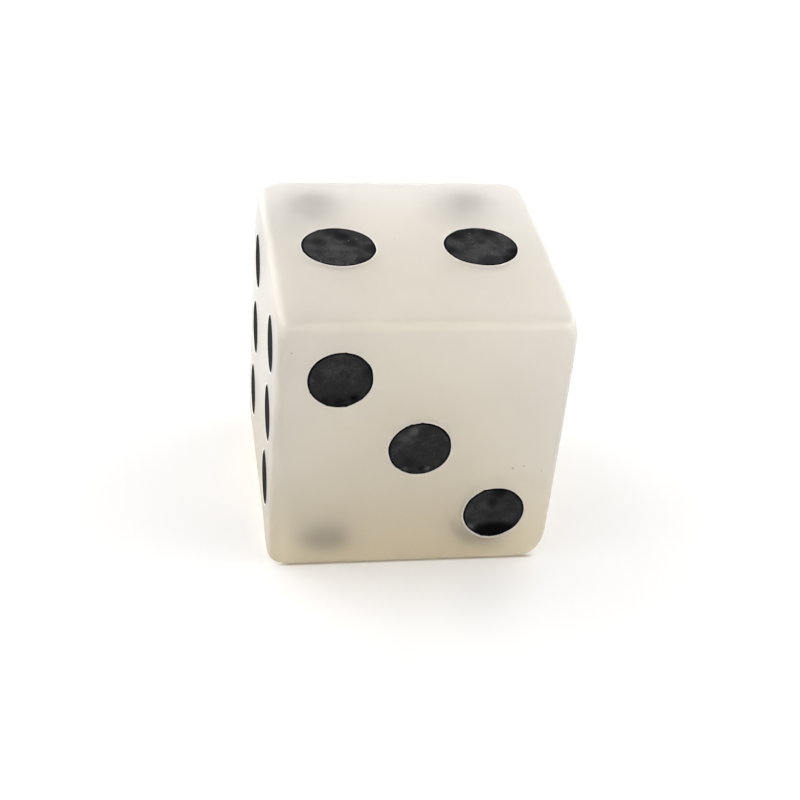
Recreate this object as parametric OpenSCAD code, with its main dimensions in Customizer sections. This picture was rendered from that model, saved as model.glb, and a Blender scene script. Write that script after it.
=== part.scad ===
// Casino die: a frosted cellulose acetate cube with drilled sockets and flush filled pips.
// Origin at the centre of the face it rests on, +Z up, -Y towards the three-pip face. Millimetres.
// Opposite faces add up to seven, and one, two, three run anticlockwise about their shared corner.

/* [Body] */
// Distance between opposite faces
die_size = 19.05; // [18:0.05:22]
// Radius along the twelve edges, just enough to take the sharpness off
edge_r = 0.45; // [0.2:0.05:0.8]
// Distance from the centre of the die to its rounded corners, as a share of the size
corner_reach = 0.806; // [0.78:0.002:0.83]

/* [Pips] */
// Diameter of the pip on the one face
one_d = 4.9; // [3:0.05:6]
// Diameter of the pips on the two face
two_d = 4.95; // [3:0.05:6]
// Diameter of the pips on the three, four and five faces
middle_d = 4.15; // [3:0.05:4.8]
// Diameter of the pips on the six face
six_d = 3.75; // [3:0.05:4.4]
// Depth of a drilled pip, the same on every face
pip_depth = 0.45; // [0.3:0.05:1]
// Bevel that the drill leaves round the floor of a socket
pip_bevel = 0.12; // [0.05:0.01:0.2]

/* [Pip layout] */
// From the centre of the two face to each of its pips, along the face's width
two_spread = 4.75; // [3.2:0.05:5.2]
// From the centre to a corner pip on the three, four and five faces, each way
corner_spread = 5.5; // [4.6:0.05:5.8]
// From the centre of the six face to each of its two columns
six_column = 5.15; // [2.4:0.05:5.8]
// From the middle row of the six face to its upper and lower rows
six_row = 5.4; // [4.5:0.05:5.8]

/* [Colours] */
// Colour of the frosted body
body_colour = "#ded9d0"; // ["#ded9d0", "#f2efe8", "#b01c22"]
// Colour of the pip filling
pip_colour = "#2f2e2e"; // ["#2f2e2e", "#f4f2ec"]

/* [Hidden] */
$fn = 96;
half = die_size / 2;
flat = die_size - 2 * edge_r;
overcut = 0.5;

// Rotations that turn a face's own right, up and outward directions into the die's frame
front = [90, 0, 0];
back = [90, 0, 180];
left = [90, 0, -90];
right = [90, 0, 90];
top = [0, 0, 0];
bottom = [180, 0, 0];

// Places on a face, as seen by someone looking straight at it: name, right, up
centre = ["centre", 0, 0];
function corner(name, side, height) = [name, side * corner_spread, height * corner_spread];
function six(name, side, height) = [name, side * six_column, height * six_row];
diagonal = [corner("upper_left", -1, 1), corner("lower_right", 1, -1)];
other_diagonal = [corner("upper_right", 1, 1), corner("lower_left", -1, -1)];

// Every face: its name, its turn, its pip diameter and its pips
FACES = [
    ["one", right, one_d, [centre]],
    ["two", top, two_d, [["left", -two_spread, 0], ["right", two_spread, 0]]],
    ["three", front, middle_d, concat([centre], diagonal)],
    ["four", back, middle_d, concat(diagonal, other_diagonal)],
    ["five", bottom, middle_d, concat([centre], diagonal, other_diagonal)],
    ["six", left, six_d, [
        six("upper_left", -1, 1), six("middle_left", -1, 0), six("lower_left", -1, -1),
        six("upper_right", 1, 1), six("middle_right", 1, 0), six("lower_right", 1, -1)
    ]]
];
function pip_name(face, place) = str("pip_", face[0], "_", place[0]);
PIPS = [for (face = FACES) for (place = face[3]) [pip_name(face, place), face, place]];

// A square bar with its four long edges rounded
module rounded_bar() {
    translate([-flat / 2, -half, -half]) cube([flat, die_size, die_size]);
    translate([-half, -flat / 2, -half]) cube([die_size, flat, die_size]);
    for (x = [-1, 1]) for (y = [-1, 1])
        translate([x * flat / 2, y * flat / 2, -half]) cylinder(r = edge_r, h = die_size);
}

// The cube before drilling: every edge rounded, every corner turned to one sphere
module blank() {
    intersection() {
        rounded_bar();
        rotate([90, 0, 0]) rounded_bar();
        rotate([0, 90, 0]) rounded_bar();
        sphere(r = corner_reach * die_size);
    }
}

// The shape of one drilled pip, mouth at z = 0, carried on upwards by extra
module pip_shape(d, extra = 0) {
    rotate_extrude() polygon([
        [0, -pip_depth], [d / 2 - pip_bevel, -pip_depth], [d / 2, pip_bevel - pip_depth],
        [d / 2, extra], [0, extra]
    ]);
}

// Puts a child drawn at a face's own origin where that place lies on the body
module on_face(face, place) {
    rotate(face[1]) translate([place[1], place[2], half]) children();
}

module body() {
    color(body_colour) translate([0, 0, half]) difference() {
        blank();
        for (p = PIPS) on_face(p[1], p[2]) pip_shape(p[1][2], overcut);
    }
}

module pip(face, place) {
    color(pip_colour) translate([0, 0, half]) on_face(face, place) pip_shape(face[2]);
}

body();
for (p = PIPS) pip(p[1], p[2]);
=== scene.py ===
"""Looks of a casino die: a frosted cellulose acetate block with twenty-one flush black pip fillings.

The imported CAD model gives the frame: the box of the body and of every pip. Each piece here is built
around those boxes, in metres, and stands for the CAD node of the same piece.
"""

import logging
import math
import random
from dataclasses import dataclass, field
from enum import Enum, IntEnum

import bmesh
import bpy
from mathutils import Matrix, Vector, geometry, noise


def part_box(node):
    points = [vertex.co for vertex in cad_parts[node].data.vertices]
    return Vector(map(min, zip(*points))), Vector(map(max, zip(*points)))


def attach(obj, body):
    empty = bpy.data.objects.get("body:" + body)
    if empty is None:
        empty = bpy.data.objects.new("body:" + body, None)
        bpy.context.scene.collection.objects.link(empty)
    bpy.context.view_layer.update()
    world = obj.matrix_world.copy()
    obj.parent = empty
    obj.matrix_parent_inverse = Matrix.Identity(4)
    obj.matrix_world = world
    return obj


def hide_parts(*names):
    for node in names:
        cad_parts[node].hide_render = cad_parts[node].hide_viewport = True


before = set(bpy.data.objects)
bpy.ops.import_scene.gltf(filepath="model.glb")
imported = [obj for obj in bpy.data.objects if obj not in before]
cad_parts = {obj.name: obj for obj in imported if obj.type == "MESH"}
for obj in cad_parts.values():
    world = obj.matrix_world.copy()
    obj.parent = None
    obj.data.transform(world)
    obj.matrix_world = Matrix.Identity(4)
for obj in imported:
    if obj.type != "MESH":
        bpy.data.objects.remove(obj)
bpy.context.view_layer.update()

LOG = logging.getLogger("casino_die")
MM = 0.001

# A light path crosses the block's haze and its matt skin many times before it gets out
SKIN_PASSES = 48
HAZE_PASSES = 32


def linear(hex_colour: str) -> tuple[float, float, float, float]:
    """Turns an sRGB colour into the linear one that shaders work in.

    Args:
        hex_colour: six hexadecimal digits after a hash, such as "#dcd6cc".

    Returns:
        Linear red, green and blue, and an alpha of 1.
    """
    parts = [int(hex_colour[i : i + 2], 16) / 255 for i in (1, 3, 5)]
    red, green, blue = (c / 12.92 if c <= 0.04045 else ((c + 0.055) / 1.055) ** 2.4 for c in parts)
    return red, green, blue, 1.0


def clamp(value: float) -> float:
    """Keeps a value between 0 and 1."""
    return min(max(value, 0.0), 1.0)


def ease(value: float) -> float:
    """Keeps a value between 0 and 1, with a soft start and a soft end."""
    share = clamp(value)
    return share * share * (3 - 2 * share)


def add_node(
    tree: bpy.types.NodeTree,
    kind: str,
    inputs: dict[str | int, object] | None = None,
    **settings: object,
) -> bpy.types.Node:
    """Adds a shader node with its settings, its values and its links.

    Args:
        tree: the node tree that the node joins.
        kind: the node's type without the leading "ShaderNode".
        inputs: for an input's name or number, a value to set or an output socket to link.
        settings: properties of the node itself, such as operation="ADD".

    Returns:
        The new node.
    """
    node = tree.nodes.new("ShaderNode" + kind)
    for name, value in settings.items():
        setattr(node, name, value)
    for key, value in (inputs or {}).items():
        if isinstance(value, bpy.types.NodeSocket):
            tree.links.new(value, node.inputs[key])
        else:
            node.inputs[key].default_value = value
    return node


def new_material(name: str) -> tuple[bpy.types.Material, bpy.types.NodeTree, bpy.types.Node]:
    """Makes an empty material.

    Args:
        name: what the finish is called.

    Returns:
        The material, its node tree and its output node.
    """
    material = bpy.data.materials.new(name)
    material.use_nodes = True
    material.node_tree.nodes.clear()
    return material, material.node_tree, add_node(material.node_tree, "OutputMaterial")


class Side(Enum):
    """The six faces of the die by their number of pips, each with its own right and up directions."""

    ONE = ((0, 1, 0), (0, 0, 1))
    TWO = ((1, 0, 0), (0, 1, 0))
    THREE = ((1, 0, 0), (0, 0, 1))
    FOUR = ((-1, 0, 0), (0, 0, 1))
    FIVE = ((1, 0, 0), (0, -1, 0))
    SIX = ((0, -1, 0), (0, 0, 1))

    @property
    def right(self) -> Vector:
        """Direction to the right, for someone who looks straight at the face."""
        return Vector(self.value[0])

    @property
    def up(self) -> Vector:
        """Direction up the face."""
        return Vector(self.value[1])

    @property
    def out(self) -> Vector:
        """Direction out of the face."""
        return self.right.cross(self.up)


@dataclass(frozen=True)
class Fleck:
    """A speck of dirt on a face, placed by its distance from the middle of the face, in millimetres."""

    side: Side
    right: float
    up: float
    radius: float

    def place(self, centre: Vector, half: float) -> Vector:
        """Gives the speck's place on a block with this centre and half width, in metres."""
        side = self.side
        return centre + side.out * half + (side.right * self.right + side.up * self.up) * MM


@dataclass(frozen=True)
class FrostedAcetate:
    """Cellulose acetate, tumbled with fine abrasive: a clear warm plastic behind a matt skin.

    The matt skin blurs what lies inside, so that the pips of the far faces show as soft grey clouds,
    and a slight haze in the plastic lifts the whole block to a milky off-white. Handling leaves it
    very faintly mottled and puts a few specks of dirt on it. Its upper edges are painted paler, a
    painted highlight, and it is painted a little warmer and a touch darker towards the foot, a painted
    warm shade. Long use has burnished the skin to a satin sheen.
    """

    colour: str = "#e4e2e0"
    stained: str = "#dbd9d6"
    # Painted warm shade towards the foot
    foot_shade: str = "#e8e0cc"
    # Painted highlight along the upper edges
    crest_highlight_colour: str = "#f3f1ee"
    dirt: str = "#6e675c"
    ior: float = 1.48
    roughness: float = 0.78
    burnish: float = 0.95
    burnish_roughness: float = 0.3
    haze_density: float = 158.0
    tint: str = "#fff7e1"
    tint_density: float = 34.0
    # Faint stains from handling, a few millimetres across
    mottle_mm: float = 2.6
    # The painted warm shade is gone at this height, and has this share at the foot
    foot_shade_height: float = 8.5 * MM
    foot_shade_share: float = 0.9
    # The abrasive leaves marks a few hundredths of a millimetre wide, drawn coarser so that they show
    grain_mm: float = 0.22
    grain_depth: float = 0.0025 * MM
    # A speck of dirt fades out between these shares of its radius
    fleck_core: float = 0.5
    fleck_edge: float = 1.3
    flecks: tuple[Fleck, ...] = (
        Fleck(Side.THREE, -8.62, 7.55, 0.07),
        Fleck(Side.THREE, 6.35, -1.75, 0.075),
        Fleck(Side.THREE, 7.1, -1.6, 0.06),
        Fleck(Side.THREE, 8.35, -2.05, 0.045),
        Fleck(Side.TWO, -0.9, 0.85, 0.04),
        Fleck(Side.SIX, 2.1, 2.9, 0.06),
        Fleck(Side.ONE, 4.2, -5.6, 0.06),
        Fleck(Side.ONE, -5.9, 3.8, 0.05),
        Fleck(Side.FOUR, 1.3, -2.4, 0.06),
    )

    def material(self) -> bpy.types.Material:
        """Builds the material.

        Returns:
            The finished material.
        """
        material, tree, output = new_material("frosted_cellulose_acetate")
        place = add_node(tree, "TexCoord").outputs["Object"]
        mottle_scale, grain_scale = 1 / (self.mottle_mm * MM), 1 / (self.grain_mm * MM)
        mottle = add_node(tree, "TexNoise", {"Vector": place, "Scale": mottle_scale, "Detail": 3.0})
        height = add_node(tree, "SeparateXYZ", {"Vector": place}).outputs["Z"]
        # Share of the painted warm shade, strongest at the foot
        foot = add_node(
            tree,
            "MapRange",
            {
                "Value": height,
                "From Min": 0.0,
                "From Max": self.foot_shade_height,
                "To Min": self.foot_shade_share,
                "To Max": 0.0,
            },
            interpolation_type="SMOOTHSTEP",
        )
        # Painted highlight along the upper edges
        crest_highlight = add_node(tree, "Attribute", attribute_name=AcetateBlock.CREST_HIGHLIGHT)
        colour: bpy.types.NodeSocket | tuple[float, ...] = linear(self.colour)
        for share, shade in (
            (mottle.outputs["Fac"], self.stained),
            (foot.outputs[0], self.foot_shade),
            (crest_highlight.outputs["Fac"], self.crest_highlight_colour),
            (self.dirt_mask(tree, place), self.dirt),
        ):
            colour = add_node(
                tree, "Mix", {"Factor": share, "A": colour, "B": linear(shade)}, data_type="RGBA"
            ).outputs["Result"]
        grain = add_node(tree, "TexNoise", {"Vector": place, "Scale": grain_scale, "Detail": 2.0})
        relief = add_node(tree, "Bump", {"Height": grain.outputs["Fac"], "Distance": self.grain_depth})
        skin = add_node(
            tree,
            "BsdfPrincipled",
            {
                "Base Color": colour,
                "Roughness": self.roughness,
                "IOR": self.ior,
                "Transmission Weight": 1.0,
                "Coat Weight": self.burnish,
                "Coat Roughness": self.burnish_roughness,
                "Normal": relief.outputs["Normal"],
                "Coat Normal": relief.outputs["Normal"],
            },
        )
        scatter = add_node(tree, "VolumeScatter", {"Color": (1, 1, 1, 1), "Density": self.haze_density})
        absorb = add_node(
            tree, "VolumeAbsorption", {"Color": linear(self.tint), "Density": self.tint_density}
        )
        both = add_node(tree, "AddShader", {0: scatter.outputs[0], 1: absorb.outputs[0]})
        tree.links.new(skin.outputs[0], output.inputs["Surface"])
        tree.links.new(both.outputs[0], output.inputs["Volume"])
        return material

    def dirt_mask(self, tree: bpy.types.NodeTree, place: bpy.types.NodeSocket) -> bpy.types.NodeSocket:
        """Builds the mask of the specks of dirt.

        Args:
            tree: the material's node tree.
            place: the socket that gives the place on the block.

        Returns:
            A socket that is 1 on a speck and 0 elsewhere.
        """
        low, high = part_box("body")
        centre, half = (low + high) / 2, (high.z - low.z) / 2
        mask: bpy.types.NodeSocket | float = 0.0
        for fleck in self.flecks:
            off = add_node(
                tree, "VectorMath", {0: place, 1: fleck.place(centre, half)}, operation="DISTANCE"
            )
            inside = add_node(
                tree,
                "MapRange",
                {
                    "Value": off.outputs["Value"],
                    "From Min": fleck.radius * MM * self.fleck_core,
                    "From Max": fleck.radius * MM * self.fleck_edge,
                    "To Min": 1.0,
                    "To Max": 0.0,
                },
            )
            mask = add_node(tree, "Math", {0: mask, 1: inside.outputs[0]}, operation="MAXIMUM").outputs[0]
        return mask


@dataclass(frozen=True)
class DrilledLip:
    """Acetate bruised white by the drill, at the mouth and on the upper wall of a socket.

    It shows as a bright hairline round each pip, and through the frosted skin as a faint pale halo.
    """

    colour: str = "#fdfbf8"
    dull: str = "#ece6dd"
    roughness: float = 0.5
    # The bruise is uneven along the rim, in patches about as long as a chip is wide
    patch_mm: float = 0.35

    def material(self) -> bpy.types.Material:
        """Builds the material.

        Returns:
            The finished material.
        """
        material, tree, output = new_material("drill_whitened_acetate")
        place = add_node(tree, "TexCoord").outputs["Object"]
        scale = 1 / (self.patch_mm * MM)
        uneven = add_node(tree, "TexNoise", {"Vector": place, "Scale": scale, "Detail": 2.0})
        shade = add_node(
            tree,
            "Mix",
            {"Factor": uneven.outputs["Fac"], "A": linear(self.colour), "B": linear(self.dull)},
            data_type="RGBA",
        )
        skin = add_node(
            tree, "BsdfPrincipled", {"Base Color": shade.outputs["Result"], "Roughness": self.roughness}
        )
        tree.links.new(skin.outputs[0], output.inputs["Surface"])
        return material


@dataclass(frozen=True)
class CastResin:
    """Black resin, poured into a drilled pip and ground flush.

    The grinding leaves a dull grey bloom in clouds. Where it has missed, at the rim and in a few low
    spots, the resin stays deep black and a little smoother. Fine pale dust sits on it.
    """

    # Colours from the palest bloom to bare resin, each with how bare the resin is there
    shades: tuple[tuple[float, str], ...] = (
        (0.05, "#545455"),
        (0.27, "#313132"),
        (0.5, "#1f1f21"),
        (0.78, "#08080a"),
    )
    dust: str = "#8f8d88"
    roughness: float = 0.85
    bare_roughness: float = 0.7
    bare_from: float = 0.3
    bare_full: float = 0.9
    gloss: float = 0.03
    # Clouds of bloom, about a fifth of a pip across
    cloud_mm: float = 0.9
    cloud_share: float = 0.34
    # The grinding leaves marks of about 0.02 mm, drawn coarser so that they show
    grain_mm: float = 0.13
    grain_share: float = 0.2
    grain_depth: float = 0.004 * MM
    # Dust is about 0.01 mm across, and is drawn as coarse as it needs to show
    dust_mm: float = 0.035
    dust_core: float = 0.6
    dust_edge: float = 1.4
    dust_spacing_mm: float = 0.55
    # Share of the places for dust that stay empty, and the share of dust that holds on an upright face
    dust_free: float = 0.62
    dust_upright: float = 0.3

    def material(self) -> bpy.types.Material:
        """Builds the material.

        Returns:
            The finished material.
        """
        material, tree, output = new_material("cast_black_resin")
        place = add_node(tree, "TexCoord").outputs["Object"]
        cloud_scale, grain_scale = 1 / (self.cloud_mm * MM), 1 / (self.grain_mm * MM)
        cloud = add_node(tree, "TexNoise", {"Vector": place, "Scale": cloud_scale, "Detail": 4.0})
        grain = add_node(tree, "TexNoise", {"Vector": place, "Scale": grain_scale, "Detail": 2.0})
        wear = add_node(tree, "Attribute", attribute_name=PipFilling.WEAR).outputs["Fac"]
        for pattern, share in ((cloud, self.cloud_share), (grain, self.grain_share)):
            wear = add_node(
                tree, "Math", {0: pattern.outputs["Fac"], 1: share, 2: wear}, operation="MULTIPLY_ADD"
            ).outputs[0]
        ramp = add_node(tree, "ValToRGB", {"Fac": wear})
        stops = ramp.color_ramp.elements
        for position, shade in self.shades:
            stop = stops.new(position)
            stop.color = linear(shade)
        stops.remove(stops[0])
        stops.remove(stops[-1])
        colour = add_node(
            tree,
            "Mix",
            {"Factor": self.dust_mask(tree, place), "A": ramp.outputs["Color"], "B": linear(self.dust)},
            data_type="RGBA",
        )
        dull = add_node(
            tree,
            "MapRange",
            {
                "Value": wear,
                "From Min": self.bare_from,
                "From Max": self.bare_full,
                "To Min": self.roughness,
                "To Max": self.bare_roughness,
            },
        )
        relief = add_node(tree, "Bump", {"Height": grain.outputs["Fac"], "Distance": self.grain_depth})
        skin = add_node(
            tree,
            "BsdfPrincipled",
            {
                "Base Color": colour.outputs["Result"],
                "Roughness": dull.outputs[0],
                "Specular IOR Level": self.gloss,
                "Normal": relief.outputs["Normal"],
            },
        )
        tree.links.new(skin.outputs[0], output.inputs["Surface"])
        return material

    def dust_mask(self, tree: bpy.types.NodeTree, place: bpy.types.NodeSocket) -> bpy.types.NodeSocket:
        """Builds the mask of the dust, one grain in some of the cells of a Voronoi pattern, most on top.

        Args:
            tree: the material's node tree.
            place: the socket that gives the place on the piece.

        Returns:
            A socket that is 1 on a grain of dust and 0 elsewhere.
        """
        scale = 1 / (self.dust_spacing_mm * MM)
        radius = self.dust_mm / self.dust_spacing_mm
        cells = add_node(tree, "TexVoronoi", {"Vector": place, "Scale": scale})
        near = add_node(
            tree,
            "MapRange",
            {
                "Value": cells.outputs["Distance"],
                "From Min": radius * self.dust_core,
                "From Max": radius * self.dust_edge,
                "To Min": 1.0,
                "To Max": 0.0,
            },
        )
        chance = add_node(tree, "SeparateColor", {"Color": cells.outputs["Color"]}).outputs[0]
        kept = add_node(tree, "Math", {0: chance, 1: self.dust_free}, operation="GREATER_THAN")
        facing = add_node(tree, "SeparateXYZ", {"Vector": add_node(tree, "TexCoord").outputs["Normal"]})
        resting = add_node(
            tree, "Math", {0: facing.outputs["Z"], 1: self.dust_upright}, operation="MAXIMUM"
        )
        mask = near.outputs[0]
        for factor in (kept, resting):
            mask = add_node(tree, "Math", {0: mask, 1: factor.outputs[0]}, operation="MULTIPLY").outputs[0]
        return mask


@dataclass(frozen=True)
class GlossLaminate:
    """White laminate table top: near white, glowing a little, with a faint mirror image of the die.

    A hairline of painted shade lies under the lower front edge of the die: a painted contact shadow that
    darkens the line of contact.
    """

    colour: str = "#fcfbfb"
    # Colour of the painted contact shadow
    contact_shade: str = "#9c8a70"
    roughness: float = 0.12
    glow: float = 0.11
    # From the die's front to the hairline, and the hairline's half width
    shade_inset: float = 0.12 * MM
    shade_width: float = 0.26 * MM
    # From the die's side to where the hairline starts to fade, and the length of the fade
    shade_end: float = 1.6 * MM
    shade_fade: float = 1.2 * MM

    def material(self) -> bpy.types.Material:
        """Builds the material.

        Returns:
            The finished material.
        """
        material, tree, output = new_material("white_gloss_laminate")
        colour = add_node(
            tree,
            "Mix",
            {"Factor": self.contact_shade_mask(tree), "A": linear(self.colour), "B": linear(self.contact_shade)},
            data_type="RGBA",
        )
        skin = add_node(
            tree,
            "BsdfPrincipled",
            {
                "Base Color": colour.outputs["Result"],
                "Roughness": self.roughness,
                "Emission Color": (1, 1, 1, 1),
                "Emission Strength": self.glow,
            },
        )
        tree.links.new(skin.outputs[0], output.inputs["Surface"])
        return material

    def contact_shade_mask(self, tree: bpy.types.NodeTree) -> bpy.types.NodeSocket:
        """Builds the mask of the hairline of painted contact shadow under the lower front edge of the die.

        Args:
            tree: the material's node tree.

        Returns:
            A socket that is 1 in the hairline and 0 elsewhere.
        """
        low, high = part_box("body")
        line, end = low.y + self.shade_inset, high.x - self.shade_end
        place = add_node(tree, "SeparateXYZ", {"Vector": add_node(tree, "TexCoord").outputs["Object"]})
        off = add_node(tree, "Math", {0: place.outputs["Y"], 1: line}, operation="SUBTRACT")
        mask: bpy.types.NodeSocket | float = 1.0
        for distance, start, fade in (
            (off.outputs[0], 0.0, self.shade_width),
            (place.outputs["X"], end, self.shade_fade),
        ):
            away = add_node(tree, "Math", {0: distance}, operation="ABSOLUTE")
            near = add_node(
                tree,
                "MapRange",
                {
                    "Value": away.outputs[0],
                    "From Min": start,
                    "From Max": start + fade,
                    "To Min": 1.0,
                    "To Max": 0.0,
                },
                interpolation_type="SMOOTHSTEP",
            )
            mask = add_node(tree, "Math", {0: mask, 1: near.outputs[0]}, operation="MULTIPLY").outputs[0]
        return mask


@dataclass(frozen=True)
class Rim:
    """The ragged circle that a worn drill cuts, shared by a socket and the filling in it."""

    radius: float
    seed: int
    wobble: float = 0.010 * MM
    waves: range = range(2, 12)
    nick: float = 0.05 * MM
    nicks: int = 5
    # Narrowest and widest nick, in radians round the rim, and the shallowest, as a share of the deepest
    nick_spans: tuple[float, float] = (0.02, 0.06)
    nick_least: float = 0.3
    segments: int = 120

    def reach(self) -> list[float]:
        """Works out the distance from the middle of the pip to its rim.

        Returns:
            One distance for each segment, in metres.
        """
        draw = random.Random(self.seed)
        waves = [(k, self.wobble / k**0.5, draw.uniform(0, math.tau)) for k in self.waves]
        chips = [
            (
                draw.uniform(0, math.tau),
                draw.uniform(*self.nick_spans),
                draw.uniform(self.nick_least, 1) * self.nick,
            )
            for _ in range(self.nicks)
        ]
        reaches = []
        for i in range(self.segments):
            angle = i * math.tau / self.segments
            reach = self.radius + sum(size * math.cos(k * angle + phase) for k, size, phase in waves)
            for place, width, depth in chips:
                off = (angle - place + math.pi) % math.tau - math.pi
                reach += depth * math.exp(-((off / width) ** 2))
            reaches.append(reach)
        return reaches


@dataclass(frozen=True)
class Pip:
    """One pip: where the CAD node has it, and the rim that its socket and its filling share."""

    node: str
    side: Side
    middle: Vector
    depth: float
    rim: Rim
    bevel: float = 0.12 * MM

    @classmethod
    def from_node(cls, node: str, seed: int) -> "Pip":
        """Reads a pip from its CAD node.

        Args:
            node: the CAD node's name, pip_ and the face and the place on it.
            seed: the number that makes this rim unlike the others.

        Returns:
            The pip, with its middle on the surface of its face.
        """
        side = Side[node.split("_")[1].upper()]
        low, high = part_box(node)
        middle, size = (low + high) / 2, high - low
        depth = abs(size.dot(side.out))
        radius = abs(size.dot(side.right)) / 2
        return cls(node, side, middle + side.out * depth / 2, depth, Rim(radius, seed))

    def ring(self, inward: float, height: float) -> list[Vector]:
        """Makes a loop of points that follows the rim.

        Args:
            inward: distance from the rim towards the middle, in metres; negative is outside the rim.
            height: distance out of the face, in metres.

        Returns:
            The points, one for each segment of the rim.
        """
        reaches = self.rim.reach()
        points = []
        for i, reach in enumerate(reaches):
            angle = i * math.tau / len(reaches)
            spoke = self.side.right * math.cos(angle) + self.side.up * math.sin(angle)
            points.append(self.middle + spoke * (reach - inward) + self.side.out * height)
        return points


@dataclass
class MeshBuilder:
    """Gathers points and faces, welds shared points and turns them into an object."""

    points: list[Vector] = field(default_factory=list)
    faces: list[tuple[int, ...]] = field(default_factory=list)
    finish: list[int] = field(default_factory=list)
    weld: float = 1e-7

    def add_point(self, point: Vector) -> int:
        """Adds a point and gives its number."""
        self.points.append(point)
        return len(self.points) - 1

    def add_face(self, corners: list[int], finish: int = 0) -> None:
        """Adds a face with its finish."""
        self.faces.append(tuple(corners))
        self.finish.append(finish)

    def add_band(self, outer: list[Vector], inner: list[Vector], finish: int = 0) -> None:
        """Joins two loops of points by a band of faces.

        Args:
            outer: the first loop, anticlockwise seen from outside.
            inner: the second loop, with as many points.
            finish: the number of the faces' finish.
        """
        count = len(outer)
        first, second = [self.add_point(p) for p in outer], [self.add_point(p) for p in inner]
        for i in range(count):
            j = (i + 1) % count
            self.add_face([first[i], first[j], second[j], second[i]], finish)

    def add_fan(self, loop: list[Vector], middle: Vector, finish: int = 0) -> None:
        """Closes a loop of points with a fan of triangles.

        Args:
            loop: the points, anticlockwise seen from outside.
            middle: the point that the triangles share.
            finish: the number of the faces' finish.
        """
        hub, ids = self.add_point(middle), [self.add_point(p) for p in loop]
        for i, here in enumerate(ids):
            self.add_face([here, ids[(i + 1) % len(ids)], hub], finish)

    def build(self, name: str, materials: list[bpy.types.Material], sharp: float) -> bpy.types.Object:
        """Turns what was gathered into an object.

        Args:
            name: the object's name.
            materials: its material slots, in the order of the finish numbers.
            sharp: edges that turn by more than this many radians stay sharp.

        Returns:
            The object, linked to the scene.
        """
        mesh = bpy.data.meshes.new(name)
        mesh.from_pydata(self.points, [], self.faces)
        for material in materials:
            mesh.materials.append(material)
        mesh.polygons.foreach_set("material_index", self.finish)
        work = bmesh.new()
        work.from_mesh(mesh)
        bmesh.ops.remove_doubles(work, verts=work.verts, dist=self.weld)
        work.to_mesh(mesh)
        work.free()
        mesh.shade_smooth()
        mesh.set_sharp_from_angle(angle=sharp)
        mesh.validate()
        piece = bpy.data.objects.new(name, mesh)
        bpy.context.scene.collection.objects.link(piece)
        return piece


class Finish(IntEnum):
    """Material slots of the block."""

    ACETATE = 0
    RESIN = 1
    LIP = 2


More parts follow.
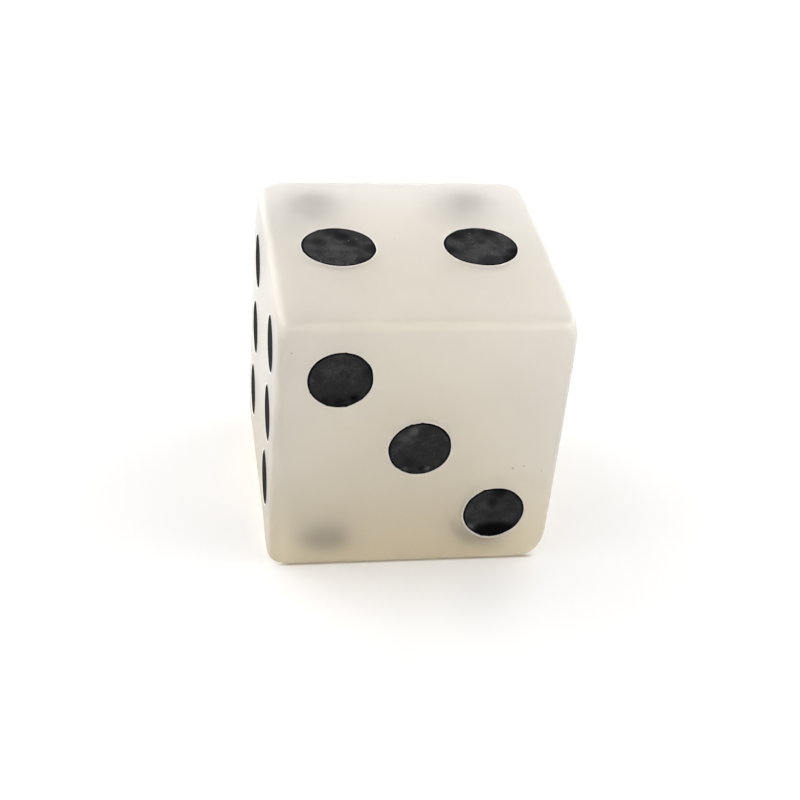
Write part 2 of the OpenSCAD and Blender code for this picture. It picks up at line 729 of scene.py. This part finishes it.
@dataclass
class AcetateBlock:
    """The body of the die: a cube with broken edges, corners turned to a sphere, and drilled sockets.

    The lower edge in front is crisper than the rest, and one of its corners is worn down.
    """

    # Name of the attribute that holds the painted highlight along the upper edges
    CREST_HIGHLIGHT = "crest_highlight"
    # Outline of a socket's lip, outward and downward, in shares of the lip's size
    LIP_OUTLINE = ((1.0, 0.0), (0.15, 0.15), (0.0, 0.5))
    pips: list[Pip]
    # The painted highlight along the upper edges starts and is full at these shares of the half width
    highlight_from: float = 0.925
    highlight_full: float = 0.968
    # The higher a power, the crisper the edge, or the turn from a face to a corner
    edge_power: float = 26.0
    foot_power: float = 80.0
    corner_power: float = 60.0
    # From the centre of the block to its corners, and to the two crisper ones in front at the foot
    corner_reach: float = 15.6 * MM
    foot_reach: float = 16.2 * MM
    # How far to the front the crispness starts to grow, and how far down it is complete at the corners
    front_from: float = 0.6
    foot_full: float = 0.5
    # Where the block is worn down, how deep, and how wide round that direction
    worn_corner: Vector = Vector((1, -1, -0.85)).normalized()
    worn_depth: float = 0.5 * MM
    worn_spread: float = 0.03
    # Grid lines across a face, and how much they crowd towards its edges
    lines: int = 73
    crowding: float = 0.85
    # Size of the rounded lip, and how far down the wall it is bruised white
    lip: float = 0.07 * MM
    bruise: float = 0.26 * MM
    # Rings of points round a socket, the last one at the lip, and the gap before the plain grid starts
    rings: tuple[float, ...] = (0.34 * MM, 0.17 * MM, 0.07 * MM)
    clear: float = 0.42 * MM
    # The ring on a socket's floor, as a share of its radius
    floor_ring: float = 0.5
    sharp: float = math.radians(35)
    weld: float = 1e-9

    def __post_init__(self) -> None:
        """Reads the block's place and size from its CAD node."""
        low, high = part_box("body")
        self.centre = (low + high) / 2
        self.half = (high.z - low.z) / 2

    def skin(self, point: Vector) -> Vector:
        """Moves a point of the plain cube onto the rounded block, along the line to the centre.

        Args:
            point: a point on the surface of the plain cube.

        Returns:
            The point on the block.
        """
        ray = (point - self.centre).normalized()
        around = self.edge_power
        level = (abs(ray.x) ** around + abs(ray.y) ** around) ** (1 / around)
        front = clamp((-ray.y / level - self.front_from) / (1 - self.front_from)) if ray.z < 0 else 0.0
        ends = around + (self.foot_power - around) * front
        reach = self.half / (level**ends + abs(ray.z) ** ends) ** (1 / ends)
        blend = self.corner_power
        worn = max(0.0, 1 - (1 - ray.dot(self.worn_corner)) / self.worn_spread)
        low = clamp(-ray.z / self.foot_full) * front
        turned = self.corner_reach + (self.foot_reach - self.corner_reach) * low - self.worn_depth * worn
        reach = (reach**-blend + turned**-blend) ** (-1 / blend)
        return self.centre + ray * reach

    def grid_places(self) -> list[float]:
        """Works out where the grid lines cross a face, closer together towards its edges.

        Returns:
            Their distances from the middle of the face, in metres.
        """
        places = []
        for i in range(self.lines):
            even = 2 * i / (self.lines - 1) - 1
            crowded = math.sin(even * math.pi / 2)
            places.append(self.half * ((1 - self.crowding) * even + self.crowding * crowded))
        return places

    def face_layout(self, side: Side) -> tuple[list[Vector], list[tuple[int, int]], list[list[int]]]:
        """Lays out the points of one face: a grid, with rings round each socket in place of its own points.

        Args:
            side: the face.

        Returns:
            The points in the face's own plane, the edges of the rings, and the rings that are open holes.
        """
        flat, edges, holes, keep_out = [], [], [], []
        for pip in self.pips_on(side):
            for step in self.rings:
                ids = range(len(flat), len(flat) + pip.rim.segments)
                flat += [self.to_flat(side, p) for p in pip.ring(-step, 0)]
                edges += zip(ids, [*ids[1:], ids[0]])
            holes.append(list(ids))
            keep_out.append((self.to_flat(side, pip.middle), pip.rim.radius + self.clear))
        for u in self.grid_places():
            for v in self.grid_places():
                place = Vector((u, v))
                if all((place - middle).length > reach for middle, reach in keep_out):
                    flat.append(place)
        return flat, edges, holes

    def pips_on(self, side: Side) -> list[Pip]:
        """Gives the pips of one face."""
        return [p for p in self.pips if p.side is side]

    def to_flat(self, side: Side, point: Vector) -> Vector:
        """Gives a point's place in a face's own plane."""
        off = point - self.centre
        return Vector((off.dot(side.right), off.dot(side.up)))

    def add_side(self, builder: MeshBuilder, side: Side) -> None:
        """Builds one face with its drilled sockets.

        Args:
            builder: what the faces are added to.
            side: the face.
        """
        flat, edges, holes = self.face_layout(side)
        cut = geometry.delaunay_2d_cdt(flat, edges, holes, 0, self.weld)
        places, triangles, hole_of = cut[0], cut[2], cut[5]
        level = self.centre + side.out * self.half
        ids = [builder.add_point(self.skin(level + side.right * p.x + side.up * p.y)) for p in places]
        for triangle, hole in zip(triangles, hole_of):
            if not hole:
                builder.add_face([ids[i] for i in triangle])
        for pip in self.pips_on(side):
            self.add_socket(builder, pip)

    def add_socket(self, builder: MeshBuilder, pip: Pip) -> None:
        """Drills one socket: a rounded lip, a wall and a bevelled floor.

        Args:
            builder: what the faces are added to.
            pip: the pip that the socket is for.
        """
        lip = [pip.ring(-self.lip * out, -self.lip * down) for out, down in self.LIP_OUTLINE]
        lip[0] = [self.skin(p) for p in lip[0]]
        rings = lip + [
            pip.ring(0, -self.bruise),
            pip.ring(0, pip.bevel - pip.depth),
            pip.ring(pip.bevel, -pip.depth),
            pip.ring(pip.rim.radius * self.floor_ring, -pip.depth),
        ]
        for number, (outer, inner) in enumerate(zip(rings, rings[1:])):
            builder.add_band(outer, inner, Finish.LIP if number < len(lip) else Finish.RESIN)
        builder.add_fan(rings[-1], pip.middle - pip.side.out * pip.depth, Finish.RESIN)

    def build(
        self, acetate: bpy.types.Material, resin: bpy.types.Material, lip: bpy.types.Material
    ) -> bpy.types.Object:
        """Builds the block.

        Args:
            acetate: finish of the block.
            resin: finish of the sockets' lower walls and floors, which the filling wets.
            lip: finish of the mouths and the upper walls of the sockets.

        Returns:
            The finished piece.
        """
        builder = MeshBuilder()
        for side in Side:
            self.add_side(builder, side)
        finishes = {Finish.ACETATE: acetate, Finish.RESIN: resin, Finish.LIP: lip}
        piece = builder.build("acetate_block", [finishes[slot] for slot in Finish], self.sharp)
        # Painted highlight along the upper edges, kept on the points
        crest_highlight = piece.data.attributes.new(self.CREST_HIGHLIGHT, "FLOAT", "POINT")
        crest_highlight.data.foreach_set("value", [self.highlight_at(v.co) for v in piece.data.vertices])
        return piece

    def highlight_at(self, point: Vector) -> float:
        """Works out how much painted highlight the skin has at a point, along the upper edges.

        Args:
            point: a point of the block.

        Returns:
            1 along an upper edge, 0 on a face and lower down.
        """
        off = (point - self.centre) / self.half
        share = min(off.z, max(abs(off.x), abs(off.y)))
        return ease((share - self.highlight_from) / (self.highlight_full - self.highlight_from))


@dataclass(frozen=True)
class Spot:
    """A round spot on a ground pip, in shares of the pip's radius from its middle.

    A positive depth is deep black resin that the grinding missed, a negative one a paler patch from
    scuffing.
    """

    right: float
    up: float
    reach: float
    depth: float
    soft: float = 0.25

    def at(self, right: float, up: float) -> float:
        """Gives what the spot adds at a place, fading out over its soft edge."""
        away = math.hypot(right - self.right, up - self.up)
        return self.depth * ease((self.reach - away) / self.soft + 0.5)


@dataclass
class PipFilling:
    """One plug of cast resin: a slightly sunken top, a soft shoulder and a wall that fits its socket."""

    WEAR = "wear"
    # The grinding never reaches the very rim, which stays black
    RIM = Spot(0, 0, 0.955, 1.0, 0.05)
    # How much barer, all over, the pips of a face are painted than the rest: painted shade, blacker on the
    # six face and a touch paler on the two face
    FACE_SHADE = {Side.SIX: 0.45, Side.TWO: -0.025}
    # On each pip of the three face a broad soft spot below its middle paints the lower part darker: a
    # painted dark reflection, deep black on the lower right pip
    SPOTS = {
        "pip_two_left": (
            Spot(0.16, 0.55, 0.17, 0.4),
            Spot(0.36, 0.2, 0.16, 0.26),
            Spot(-0.52, 0.25, 0.16, 0.18),
            Spot(0.9, -0.1, 0.2, 0.25),
            Spot(0.6, -0.72, 0.2, 0.24),
            Spot(-0.1, -0.05, 0.35, -0.06, 0.5),
            Spot(-0.1, 0.85, 0.22, 0.2),
            Spot(-0.75, -0.1, 0.18, -0.04),
        ),
        "pip_two_right": (
            Spot(-0.55, 0.6, 0.2, 0.36),
            Spot(-0.2, 0.85, 0.2, 0.26),
            Spot(0.35, 0.75, 0.22, 0.26),
            Spot(-0.85, -0.2, 0.16, 0.3),
            Spot(0.86, -0.3, 0.16, 0.5),
            Spot(0.7, -0.66, 0.2, 0.4),
            Spot(0.08, 0.25, 0.1, 0.14),
            Spot(0.0, -0.3, 0.4, -0.05, 0.5),
            Spot(0.1, -0.8, 0.3, 0.14),
        ),
        "pip_three_upper_left": (
            Spot(0.45, -0.66, 0.09, 0.45, 0.2),
            Spot(-0.43, -0.74, 0.1, 0.2),
            Spot(0.0, -0.85, 0.14, 0.2),
            Spot(0.88, 0.25, 0.2, 0.14),
            Spot(0.0, -1.4, 1.1, 0.13, 0.8),
            Spot(-0.9, 0.0, 0.08, -0.1, 0.15),
        ),
        "pip_three_centre": (
            Spot(-0.25, 0.68, 0.14, -0.2, 0.25),
            Spot(-0.5, 0.45, 0.14, -0.1),
            Spot(0.82, 0.38, 0.1, -0.12, 0.2),
            Spot(-0.4, -0.76, 0.08, -0.24, 0.2),
            Spot(0.3, -0.78, 0.08, -0.26, 0.2),
            Spot(0.1, -0.76, 0.08, 0.3, 0.15),
            Spot(-0.3, -0.5, 0.2, 0.14),
            Spot(0.0, -1.4, 1.1, 0.08, 0.8),
        ),
        "pip_three_lower_right": (
            Spot(0.1, -1.85, 1.4, 0.62, 0.34),
            Spot(-0.07, 0.42, 0.14, 0.3, 0.3),
            Spot(0.1, 0.85, 0.22, 0.36, 0.3),
            Spot(-0.72, -0.75, 0.25, -0.34, 0.3),
            Spot(0.3, 0.3, 0.1, -0.06),
            Spot(-0.35, 0.35, 0.16, -0.08),
        ),
    }
    # A pip without spots of its own gets seeded ones: how many, how far out, how large and how deep
    SEED_SHIFT = 100
    COUNTS = (4, 7)
    OFFSETS = (0.3, 0.9)
    REACHES = (0.08, 0.24)
    DEPTHS = (0.3, 0.22, 0.15, -0.06, -0.09)
    # The shoulder's outline from the wall to the ground top: inward and downward
    SHOULDER_OUTLINE = ((0.0225 * MM, 0.045 * MM), (0.054 * MM, 0.02 * MM))
    pip: Pip
    # The ground top lies this far under the face at its edge, and sags this much more in the middle
    drop: float = 0.012 * MM
    sag: float = 0.02 * MM
    clearance: float = 0.006 * MM
    shoulder: float = 0.09 * MM
    ripple: float = 0.003 * MM
    ripple_length: float = 0.7 * MM
    rows: int = 26
    sharp: float = math.radians(40)

    def spots(self) -> tuple[Spot, ...]:
        """Gives the spots of this pip.

        Returns:
            Its own where they are known, and otherwise a few seeded ones.
        """
        if self.pip.node in self.SPOTS:
            return self.SPOTS[self.pip.node]
        draw = random.Random(self.pip.rim.seed + self.SEED_SHIFT)
        spots = []
        for _ in range(draw.randint(*self.COUNTS)):
            angle, off = draw.uniform(0, math.tau), draw.uniform(*self.OFFSETS)
            reach, depth = draw.uniform(*self.REACHES), draw.choice(self.DEPTHS)
            spots.append(Spot(off * math.cos(angle), off * math.sin(angle), reach, depth))
        return tuple(spots)

    def top_ring(self, share: float) -> list[Vector]:
        """Makes a loop on the ground top.

        Args:
            share: how far out the loop lies, from 0 in the middle to 1 at the shoulder.

        Returns:
            Its points, sunken towards the middle and a little uneven.
        """
        pip = self.pip
        inward = self.shoulder + (pip.rim.radius - self.shoulder) * (1 - share)
        height = -self.drop - self.sag * (1 - share**2)
        loop = pip.ring(inward, height)
        return [p + pip.side.out * self.ripple * noise.noise(p / self.ripple_length) for p in loop]

    def wear_at(self, point: Vector, spots: tuple[Spot, ...]) -> float:
        """Works out how bare the resin is at a point.

        Args:
            point: a point of the plug.
            spots: the spots of this pip.

        Returns:
            0 where it is evenly ground, up to 1 where it is deep black, below 0 where it is paler from
            scuffing.
        """
        pip = self.pip
        off = point - pip.middle
        right, up = off.dot(pip.side.right) / pip.rim.radius, off.dot(pip.side.up) / pip.rim.radius
        # Painted shade of this pip's whole face
        missed = self.FACE_SHADE.get(pip.side, 0.0)
        return 1.0 - self.RIM.at(right, up) + missed + sum(spot.at(right, up) for spot in spots)

    def build(self, resin: bpy.types.Material) -> bpy.types.Object:
        """Builds the plug.

        Args:
            resin: its finish.

        Returns:
            The finished piece.
        """
        pip = self.pip
        builder = MeshBuilder()
        gap = self.clearance
        wall = [
            pip.ring(pip.bevel + gap, gap - pip.depth),
            pip.ring(gap, pip.bevel - pip.depth + gap),
            pip.ring(gap, -self.shoulder),
            *(pip.ring(inward, -down) for inward, down in self.SHOULDER_OUTLINE),
        ]
        rings = wall + [self.top_ring(1 - i / self.rows) for i in range(self.rows)]
        for outer, inner in zip(rings, rings[1:]):
            builder.add_band(outer, inner)
        builder.add_fan(rings[-1], pip.middle - pip.side.out * (self.sag + self.drop))
        builder.add_fan(rings[0][::-1], pip.middle + pip.side.out * (gap - pip.depth))
        piece = builder.build(pip.node.replace("pip_", "resin_"), [resin], self.sharp)
        spots = self.spots()
        wear = piece.data.attributes.new(self.WEAR, "FLOAT", "POINT")
        wear.data.foreach_set("value", [self.wear_at(v.co, spots) for v in piece.data.vertices])
        return piece


@dataclass(frozen=True)
class Panel:
    """A soft white panel of the room: a broad lobe of light that comes from one direction.

    Its angles are in degrees, the azimuth clockwise from the back. The higher the focus, the smaller
    the panel.
    """

    azimuth: float
    elevation: float
    focus: float
    strength: float

    def direction(self) -> Vector:
        """Gives the direction from the die to the middle of the panel."""
        around, above = math.radians(self.azimuth), math.radians(self.elevation)
        flat = math.cos(above)
        return Vector((math.sin(around) * flat, math.cos(around) * flat, math.sin(above)))


@dataclass
class Studio:
    """Pale table, white surround and the camera."""

    panels: tuple[Panel, ...] = (
        Panel(azimuth=45, elevation=10, focus=8, strength=1.39),
        Panel(azimuth=90, elevation=10, focus=8, strength=3.26),
        Panel(azimuth=180, elevation=10, focus=8, strength=0.25),
        Panel(azimuth=270, elevation=10, focus=8, strength=2.36),
        Panel(azimuth=315, elevation=10, focus=8, strength=3.2),
    )
    azimuth: float = -11.772
    elevation: float = 35.152
    roll: float = 5.768
    distance: float = 112.529 * MM
    target: Vector = Vector((0.345 * MM, 0, 6.611 * MM))
    lens: float = 72.051
    sensor: float = 36.0
    nearest: float = 0.01
    farthest: float = 10.0
    table_reach: float = 1.5
    table_gap: float = 0.01 * MM

    def add_table(self, laminate: bpy.types.Material) -> None:
        """Lays the table under the die.

        Args:
            laminate: its finish.
        """
        builder = MeshBuilder()
        low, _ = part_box("body")
        height, reach = low.z - self.table_gap, self.table_reach
        corners = [(-reach, -reach), (reach, -reach), (reach, reach), (-reach, reach)]
        builder.add_face([builder.add_point(Vector((x, y, height))) for x, y in corners])
        builder.build("table", [laminate], math.pi)

    def add_camera(self) -> None:
        """Places the camera at the distance, height and tilt of the view."""
        around, above, tilt = (math.radians(a) for a in (self.azimuth, self.elevation, self.roll))
        back = Vector(
            (math.sin(around) * math.cos(above), -math.cos(around) * math.cos(above), math.sin(above))
        )
        level = Vector((0, 0, 1)).cross(back).normalized()
        upright = back.cross(level)
        right = level * math.cos(tilt) + upright * math.sin(tilt)
        up = upright * math.cos(tilt) - level * math.sin(tilt)
        lens = bpy.data.cameras.new("camera")
        lens.lens, lens.sensor_width = self.lens, self.sensor
        lens.clip_start, lens.clip_end = self.nearest, self.farthest
        camera = bpy.data.objects.new("camera", lens)
        turn = Matrix((right, up, back)).transposed().to_4x4()
        camera.matrix_world = Matrix.Translation(self.target + back * self.distance) @ turn
        bpy.context.scene.collection.objects.link(camera)
        bpy.context.scene.camera = camera

    def add_surround(self) -> None:
        """Fills the room with the light of its panels."""
        world = bpy.data.worlds.new("white_room")
        bpy.context.scene.world = world
        world.use_nodes = True
        tree = world.node_tree
        tree.nodes.clear()
        look = add_node(tree, "TexCoord").outputs["Generated"]
        total: bpy.types.NodeSocket | float = 0.0
        for panel in self.panels:
            facing = add_node(
                tree, "VectorMath", {0: look, 1: panel.direction()}, operation="DOT_PRODUCT"
            )
            # From a cosine between -1 and 1 to a share between 0 and 1
            lifted = add_node(
                tree, "Math", {0: facing.outputs["Value"], 1: 0.5, 2: 0.5}, operation="MULTIPLY_ADD"
            )
            lobe = add_node(tree, "Math", {0: lifted.outputs[0], 1: panel.focus}, operation="POWER")
            total = add_node(
                tree, "Math", {0: lobe.outputs[0], 1: panel.strength, 2: total}, operation="MULTIPLY_ADD"
            ).outputs[0]
        light = add_node(tree, "Background", {"Color": (1, 1, 1, 1), "Strength": total})
        output = add_node(tree, "OutputWorld", {"Surface": light.outputs[0]})
        output.is_active_output = True


def set_up_view() -> None:
    """Sets a plain view transform and lets light pass many times through the block."""
    scene = bpy.context.scene
    scene.view_settings.view_transform = "Standard"
    scene.cycles.max_bounces = SKIN_PASSES
    scene.cycles.transmission_bounces = SKIN_PASSES
    scene.cycles.volume_bounces = HAZE_PASSES


def claim(piece: bpy.types.Object, node: str) -> None:
    """Ties a piece to the frame and reports it.

    Args:
        piece: the finished piece.
        node: the CAD node that it stands for.
    """
    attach(piece, "root")
    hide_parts(node)
    LOG.info("%s stands for %s, %d faces", piece.name, node, len(piece.data.polygons))


def pips_in_frame() -> list[Pip]:
    """Reads every pip from the frame.

    Returns:
        The pips, in the order of their names.
    """
    nodes = sorted(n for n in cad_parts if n.startswith("pip_"))
    return [Pip.from_node(node, seed) for seed, node in enumerate(nodes)]


def main() -> None:
    """Builds the die, the table, the light and the camera."""
    logging.basicConfig(level=logging.INFO, format="%(name)s: %(message)s")
    set_up_view()
    acetate, resin, lip = FrostedAcetate().material(), CastResin().material(), DrilledLip().material()
    pips = pips_in_frame()
    claim(AcetateBlock(pips).build(acetate, resin, lip), "body")
    for pip in pips:
        claim(PipFilling(pip).build(resin), pip.node)
    studio = Studio()
    studio.add_table(GlossLaminate().material())
    studio.add_surround()
    studio.add_camera()


if __name__ == "__main__":
    main()
